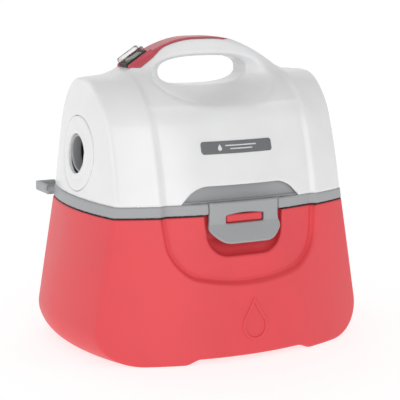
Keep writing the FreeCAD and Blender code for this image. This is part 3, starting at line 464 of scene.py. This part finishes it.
def head_solid(x, y, z):
    """Outside of head and handle together, before anything is let into it."""
    loaf = round_and(head_loaf(x, y, z), head_end(x, y, z), 3.2)
    deep = np.abs(y)
    narrow = FRONT_RISE - bow(np.clip(x, -146, 146), CORNER_X, FRONT_RISE)
    flank = (z - 303.0 + 0.9 * (deep + narrow - GRIP_HALF_Y)) / 1.345
    flank = np.maximum(flank, deep + narrow - 74.0)
    back = 0.85 * (z - arch_top(x))
    arch = round_and(back, round_or(deep - GRIP_HALF_Y, flank, 8.0), 8.0)
    arch = np.maximum(arch, np.abs(x) - 99.0)
    whole = round_or(loaf, arch, 7.0)
    return cut_away(whole, hand_scoop(x, y, z), 4.0)


def cover_zone(x, y, z):
    """Inside is the strip along the back of the handle that the coral cover takes."""
    far = np.abs(x)
    depth = (2.2 + 4.0 * ease((far - 44.0) / 20.0)) * (1 - ease((far - 73.0) / 12.0))
    half_y = 24.0 - 12.5 * ease((x - 4.0) / 30.0)
    return np.maximum(arch_top(x) - depth - z, round_and(far - 86.0, np.abs(y) - half_y, 10.0))


def on_slope(x, z):
    """Along and above the switch's seat on the handle's left slope."""
    dx, dz = x - SWITCH_AT[0], z - SWITCH_AT[1]
    return SLOPE_COS * dx + SLOPE_SIN * dz, -SLOPE_SIN * dx + SLOPE_COS * dz


def switch_hole(x, y, z):
    along, above = on_slope(x, z)
    return np.maximum(round_and(np.abs(along) - 12.8, np.abs(y) - 8.8, 1.5), -13.5 - above)


def head_field(x, y, z):
    outer = head_solid(x, y, z)
    # thicker over the crown, where the field rises faster than the distance
    wall = WALL + 2.4 * ease((z - 205.0) / 30.0)
    shell = np.maximum(outer, -(outer + wall))
    shell = np.maximum(shell, SEAM - cover_zone(x, y, z))
    across = np.abs(x)
    # the finger recess narrows upwards into soft top corners
    slant = 0.725 * (across - 67.5 + 0.95 * (z - BAND_TOP_Z))
    bay = np.maximum(round_and(slant, z - BAY_TOP_Z, 9.0), 60.0 - np.abs(y))
    shell = cut_away(shell, bay, 1.2)
    port = np.maximum(np.hypot(y, z - PORT_Z) - DISC_R - 0.3, 60.0 - across)
    shell = cut_away(shell, port, 0.6)
    shell = np.maximum(shell, -switch_hole(x, y, z))
    gland = np.maximum(np.hypot(x - GLAND_AT[0], z - GLAND_AT[1]) - 9.2, 40.0 - y)
    shell = np.maximum(shell, -gland)
    return round_and(shell, BAND_TOP_Z - z, 0.5)


head = skin("head_moulding", head_field, (-146, -114, BAND_TOP_Z - 2), (146, 114, 323), FINE)
# gloss ABS: a bright neutral white with soft reflections from a lightly polished tool
white_abs = moulded_plastic("white_abs_gloss", "#ECECED", 0.24, 1.0, 0.006, ior=1.53, worn="#F6F6F6")
head.data.materials.append(white_abs)
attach(head, "head")
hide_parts("head_shell", "head_shell_left", "head_shell_right", "head_skirt_left", "head_skirt_right",
            "handle_frame")

# Handle cover.
# Coral ABS strip that snaps over the back of the handle and frames the switch, with a raised rail each
# side of it so that the rocker isn't knocked.


def cover_field(x, y, z):
    outer = head_solid(x, y, z)
    strip = np.maximum(outer, -(outer + 3.0))
    strip = round_and(strip, cover_zone(x, y, z), 0.5)
    along, above = on_slope(x, z)
    rail = round_and(round_and(np.abs(along - 2.0) - 16.0, np.abs(np.abs(y) - 13.4) - 2.2, 2.0),
                     np.abs(above + 1.2) - 3.2, 2.0)
    return np.maximum(round_or(strip, rail, 1.5), -switch_hole(x, y, z))


cover = skin("handle_cover_moulding", cover_field, (-98, -26, 272), (98, 26, 323), 1.2)
# coral ABS, set darker than the tank's coral: painted shade for the up-facing back of the handle
coral_abs_painted_shade = moulded_plastic("coral_satin_painted_shade", "#C8505C", 0.34, 0.8, 0.012, worn="#F08A8C")
cover.data.materials.append(coral_abs_painted_shade)
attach(cover, "head")
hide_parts("handle_cover")

# Switch.
# Two-position rocker in a black nylon frame, snapped into the slope of the handle under a clear
# thermoplastic cover that keeps spray off it.


def switch_frame_field(x, y, z):
    along, above = on_slope(x, z)
    body = block(along, y, above, 0, 0, -6.7, 12.5, 8.5, 5.8, 0.8)
    rim = block(along, y, above, 0, 0, 0.6, 14.0, 10.0, 1.5, 0.9)
    well = block(along, y, above, 0, 0, -1.0, 10.0, 6.5, 8.0, 0.8)
    return cut_away(np.minimum(body, rim), well, 0.4)


def clear_cover_field(x, y, z):
    along, above = on_slope(x, z)
    outer = block(along, y, above, 0, 0, 4.0, 13.3, 9.3, 4.6, 2.4)
    return np.maximum(np.maximum(outer, -(outer + 0.9)), 1.7 - above)


switch_low, switch_high = (-94, -13, 268), (-52, 13, 313)
switch_frame = skin("switch_frame", switch_frame_field, switch_low, switch_high, 0.6)
# nylon 66 with glass: near black, matt
black_nylon = moulded_plastic("black_nylon_66", "#262628", 0.5, 0.6, 0.02, worn="#4A4A4C")
switch_frame.data.materials.append(black_nylon)
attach(switch_frame, "head")
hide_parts("switch_body")
rocker_green = moulded_plastic("rocker_polycarbonate", "#7E8E84", 0.3, 0.6, 0.01, worn="#A8B4AC")
finish_nodes(rocker_green, "rocker")

clear_cover = skin("switch_splash_cover", clear_cover_field, switch_low, switch_high, 0.6)
# clear TPU: nearly clear faces with a faint haze, and moulded edges that look dark
material, tree = new_material("clear_tpu")
haze = add_node(tree, "ShaderNodeTexNoise", {"Scale": 900.0, "Detail": 2.0})
soft = add_node(tree, "ShaderNodeBump", {"Height": haze.outputs["Fac"], "Strength": 0.1,
                                         "Distance": 0.00005})
edge = add_node(tree, "ShaderNodeNewGeometry").outputs["Pointiness"]
thick = add_node(tree, "ShaderNodeMapRange", {"Value": edge, "From Min": 0.505, "From Max": 0.54})
body = add_node(tree, "ShaderNodeMix", {"Factor": thick.outputs["Result"]}, data_type="RGBA")
body.inputs["A"].default_value = linear("#8C8480")
body.inputs["B"].default_value = linear("#4A3834")
veil = add_node(tree, "ShaderNodeMapRange", {"Value": thick.outputs["Result"], "To Min": 0.05,
                                             "To Max": 0.8})
clear = add_node(tree, "ShaderNodeBsdfPrincipled", {
    "Base Color": body.outputs["Result"], "Roughness": 0.08, "IOR": 1.45,
    "Alpha": veil.outputs["Result"], "Normal": soft.outputs["Normal"]})
add_node(tree, "ShaderNodeOutputMaterial", {"Surface": clear.outputs["BSDF"]})
clear_cover.data.materials.append(material)
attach(clear_cover, "head")
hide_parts("splash_cover")

# Ports.
# A white disc closes each end of the head over the duct, held by a flange behind the shell. The grey ring
# in its middle is the tapered socket that a hose end pushes into: suction on the left, blowing on the right.
PORT_BORE_R = 17.3
PORT_RING_R = 20.2
RING_FACE_X = HEAD_CORNER_X + HEAD_RISE - HEAD_LEAN * (PORT_Z - BAND_TOP_Z)
PORTS = (("hose_inlet", -1), ("blower_outlet", 1))


def disc_field(side):
    def field(x, y, z):
        end = head_end(x, y, z)
        off = np.hypot(y, z - PORT_Z)
        disc = round_and(round_and(end - 0.5, off - DISC_R, 1.4), -(end + 3.0), 0.3)
        step = round_and(np.maximum(end - 1.2, -(end + 2.0)), off - PORT_RING_R - 5.0, 1.0)
        return np.maximum(cut_away(round_or(disc, step, 1.0), off - PORT_RING_R - 0.25, 0.5), -side * x)
    return field


def ring_field(side):
    def field(x, y, z):
        off = np.hypot(y, z - PORT_Z)
        wall = round_and(off - PORT_RING_R, PORT_BORE_R + 0.02 * (RING_FACE_X - side * x) - off, 1.2)
        front = round_and(wall, side * x - RING_FACE_X + 2.2, 1.2)
        return round_and(front, RING_FACE_X - 13.0 - side * x, 0.6)
    return field


for name, side in PORTS:
    low, high = sorted((side * 118.0, side * 145.0))
    for kind, field, reach, material, slot_name in (("disc", disc_field, 42, white_abs, "shell_white"),
                                                    ("ring", ring_field, 23, grey_abs, "band_grey")):
        piece = skin("%s_%s_moulding" % (name, kind), field(side), (low, -reach, PORT_Z - reach),
                     (high, reach, PORT_Z + reach), 1.1)
        piece.data.materials.append(material)
        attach(piece, "head")
        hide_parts("%s_%s" % (name, kind))

# Latches.
# One grey ABS lever front and rear. It hangs from a steel pin in the band, its window catches the coral
# tongue on the tank, and its lip flares out for the fingers.
LATCH_TOP_Z = 159.6
KNEE_Z = 138.0
TIP_Z = 119.2
LATCH_OUT = 11.2


def latch_field(x, y, z):
    face = FACE_Y - x * x / (2 * bow_radius(CORNER_X, FRONT_RISE))
    below = np.clip((KNEE_Z - z) / (KNEE_Z - TIP_Z), 0, 1.2)
    out = LATCH_OUT * below
    front = (np.abs(y) - face - out) * 0.85
    behind = (face + out * 0.97 - 4.6 - np.abs(y)) * 0.85
    plate = round_and(front, behind, 1.5)
    across = np.abs(x)
    outline = round_and(across - 39.4 - 2.2 * np.exp(-((z - 132.0) / 5.5) ** 2), TIP_Z - z, 19.0)
    outline = round_and(outline, z - LATCH_TOP_Z, 1.0)
    body = round_and(plate, outline, 1.6)
    window = round_and(across - 21.8, round_and(z - 148.3 + 0.0045 * x * x, 137.8 - z, 0.5), 1.6)
    return cut_away(body, window, 0.7)


for name, side in (("front", -1), ("rear", 1)):
    low, high = sorted((side * 94.0, side * 124.0))
    latch = skin(name + "_latch_moulding", latch_field, (-44, low, 116), (44, high, 163), 1.1)
    latch.data.materials.append(grey_abs)
    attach(latch, name + "_latch")
    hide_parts(name + "_latch")

# Finger recess trays.
# Grey ABS liners clipped behind the head shell, which close the recess above each latch with a flat back
# and a floor at the level of the band.
recess_abs = moulded_plastic("recess_abs_texture", "#A6A8AA", 0.5, 0.8, 0.02, worn="#9EA0A2")
finish_nodes(recess_abs, "front_recess_tray", "rear_recess_tray")

# Badge.
# A plain grey plaque with a water drop and two air lines, hot-stamped on the front panel, which shows
# only that the cleaner takes wet dirt and dust.
BADGE_AT = (-2.0, 213.2)
BADGE_HALF = (40.0, 6.2)


def badge_marks(x, z):
    drop = drop_outline(x + 20.0, z + 1.0, 2.3)
    waves = [round_and(np.abs(x - 4.0) - 18.0 + 5.0 * i, np.abs(z - 1.6 + 3.2 * i) - 0.65, 0.5)
             for i in range(2)]
    return np.minimum(drop, np.minimum(*waves))


def badge_field(x, y, z):
    outer = head_solid(x, y, z)
    u, v = x - BADGE_AT[0], z - BADGE_AT[1]
    pill = round_and(np.abs(u) - BADGE_HALF[0], np.abs(v) - BADGE_HALF[1], 3.0)
    slab = np.maximum(outer - 0.7, -(outer + 0.4))
    return np.maximum(cut_away(round_and(pill, slab, 0.3), badge_marks(u, v), 0.15), y)


badge_low = (BADGE_AT[0] - BADGE_HALF[0] - 2, -102, BADGE_AT[1] - BADGE_HALF[1] - 2)
badge_high = (BADGE_AT[0] + BADGE_HALF[0] + 2, -80, BADGE_AT[1] + BADGE_HALF[1] + 2)
badge = skin("front_badge", badge_field, badge_low, badge_high, 0.45)
badge_grey = moulded_plastic("badge_foil_grey", "#6E7072", 0.35, 0.5, 0.008, worn="#8A8C8E")
badge.data.materials.append(badge_grey)
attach(badge, "head")

# Cord gland.
# Ribbed rubber bush where the mains lead would leave the rear of the head.


def gland_field(x, y, z):
    off = np.hypot(x - GLAND_AT[0], z - GLAND_AT[1])
    rib = 0.5 * np.cos(2 * math.pi * (y - 93.0) / 3.0)
    body = round_and(off - 8.4 - rib, np.abs(y - 100.5) - 10.2, 1.2)
    flange = round_and(off - 12.0, np.abs(y - 91.3) - 1.1, 0.4)
    return cut_away(np.minimum(body, flange), off - 3.8, 0.5)


gland = skin("cord_gland_moulding", gland_field, (22, 88, 176), (50, 112, 204), 0.8)
gland.data.materials.append(rubber_and_gap_shade)
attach(gland, "head")
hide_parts("cord_gland")

# Filter foam.
# Open-cell polyurethane sleeve pulled over the cage, which stops coarse dust and froth.


def foam_field(x, y, z):
    off = np.hypot(x, y)
    cells = 0.35 * np.sin(x * 1.3 + 0.7 * y) * np.sin(y * 1.5 - 0.4 * z) * np.sin(z * 1.4 + 0.5 * x)
    return round_and(round_and(off - 51.9 + cells, 47.5 - off, 1.4), np.abs(z - 104.7) - 38.2, 2.0)


foam = skin("filter_foam", foam_field, (-55, -55, 62), (55, 55, 147), FINE)
# polyurethane foam, about 12 cells a centimetre: deep pits that swallow light
material, tree = new_material("grey_polyurethane_foam")
where = add_node(tree, "ShaderNodeTexCoord").outputs["Object"]
cells = add_node(tree, "ShaderNodeTexVoronoi", {"Vector": where, "Scale": 1 / 0.0016})
tint = add_node(tree, "ShaderNodeMapRange", {"Value": cells.outputs["Distance"], "To Min": 1.0,
                                             "To Max": 0.45})
shade = add_node(tree, "ShaderNodeMix", data_type="RGBA", blend_type="MULTIPLY")
shade.inputs["Factor"].default_value = 1.0
shade.inputs["A"].default_value = linear("#5A5C60")
tree.links.new(tint.outputs["Result"], shade.inputs["B"])
pits = add_node(tree, "ShaderNodeBump", {"Height": cells.outputs["Distance"], "Strength": 0.9,
                                         "Distance": 0.0006}, invert=True)
matt = add_node(tree, "ShaderNodeBsdfPrincipled", {
    "Base Color": shade.outputs["Result"], "Roughness": 0.95, "Normal": pits.outputs["Normal"]})
add_node(tree, "ShaderNodeOutputMaterial", {"Surface": matt.outputs["BSDF"]})
foam.data.materials.append(material)
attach(foam, "head")
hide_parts("foam_sleeve")

# Filter cage, ducts and fan housing.
# Black polypropylene mouldings under and inside the head, screwed to the deck plate.
black_pp = moulded_plastic("black_pp", "#232325", 0.5, 0.9, 0.02, worn="#3E3E40")
finish_nodes(black_pp, "filter_cage", "inlet_elbow", "exhaust_duct", "fan_housing", "fan_housing_cover",
             "brush_holders", "brush_caps", "cooling_fan")

# Float.
# White polypropylene cup that rises with the water and shuts the fan's eye before the tank overflows.
finish_nodes(moulded_plastic("white_pp", "#E4E6E4", 0.4, 0.9, 0.015, worn="#F0F0F0"), "float")


def worked_metal(name, colour, roughness, line_mm, line_depth, stretch=(1, 1, 12), dull="#808080"):
    """Bare metal with fine marks from how it was cut or rolled, and a patchy dull film on it."""
    made, tree = new_material(name)
    where = add_node(tree, "ShaderNodeTexCoord").outputs["Object"]
    drawn = add_node(tree, "ShaderNodeMapping", {"Vector": where, "Scale": stretch})
    lines = add_node(tree, "ShaderNodeTexNoise", {"Vector": drawn.outputs["Vector"],
                                                  "Scale": 1 / (line_mm * MM), "Detail": 2.0})
    film = add_node(tree, "ShaderNodeTexNoise", {"Vector": where, "Scale": 1 / 0.012, "Detail": 4.0})
    patch = add_node(tree, "ShaderNodeMapRange", {"Value": film.outputs["Fac"], "From Min": 0.45,
                                                  "From Max": 0.75, "To Min": 0.0, "To Max": 0.35})
    mixed = add_node(tree, "ShaderNodeMix", {"Factor": patch.outputs["Result"]}, data_type="RGBA")
    mixed.inputs["A"].default_value = linear(colour)
    mixed.inputs["B"].default_value = linear(dull)
    gloss = add_node(tree, "ShaderNodeMapRange", {"Value": film.outputs["Fac"], "To Min": roughness * 0.8,
                                                  "To Max": roughness * 1.3})
    marks = add_node(tree, "ShaderNodeBump", {"Height": lines.outputs["Fac"], "Strength": 0.4,
                                              "Distance": line_depth * MM})
    shader = add_node(tree, "ShaderNodeBsdfPrincipled", {
        "Base Color": mixed.outputs["Result"], "Metallic": 1.0, "Roughness": gloss.outputs["Result"],
        "Normal": marks.outputs["Normal"]})
    add_node(tree, "ShaderNodeOutputMaterial", {"Surface": shader.outputs["BSDF"]})
    return made


# Motor, shaft, bearings and fasteners.
# A universal motor on the deck: silicon-steel laminations, lacquered copper coils, a copper commutator with
# carbon brushes, pressed zinc-plated bells, and an aluminium fan wheel on the ground steel shaft.
finish_nodes(worked_metal("ground_steel", "#B8BABC", 0.25, 0.3, 0.01, (12, 12, 1)), "motor_shaft", "fan_nut",
             "lower_bearing", "upper_bearing", "front_latch_pin", "rear_latch_pin")
finish_nodes(worked_metal("zinc_plated_steel", "#C2C2BA", 0.35, 0.8, 0.01, (1, 1, 1), "#8C8C80"),
             "motor_lower_bell", "motor_upper_bell", "deck_screws", "cage_screws")
# stacked sheets 0.5 mm thick, drawn as 1 mm so that they show
finish_nodes(worked_metal("steel_laminations", "#7C7E82", 0.4, 1.0, 0.12, (0.02, 0.02, 1)), "stator_core",
             "armature_core")
finish_nodes(worked_metal("lacquered_copper_wire", "#B4582E", 0.3, 0.8, 0.2, (0.1, 0.1, 1), "#7A3418"),
             "field_coils", "armature_windings")
finish_nodes(worked_metal("turned_copper", "#C87848", 0.25, 0.3, 0.01, (0.1, 0.1, 1), "#8A5030"),
             "commutator")
finish_nodes(worked_metal("cast_aluminium", "#C6C8CA", 0.4, 1.2, 0.02, (1, 1, 1), "#9A9C9E"), "fan_wheel")
finish_nodes(moulded_plastic("pressed_carbon", "#2C2C2E", 0.75, 0.4, 0.03, worn="#48484A"), "carbon_brushes")
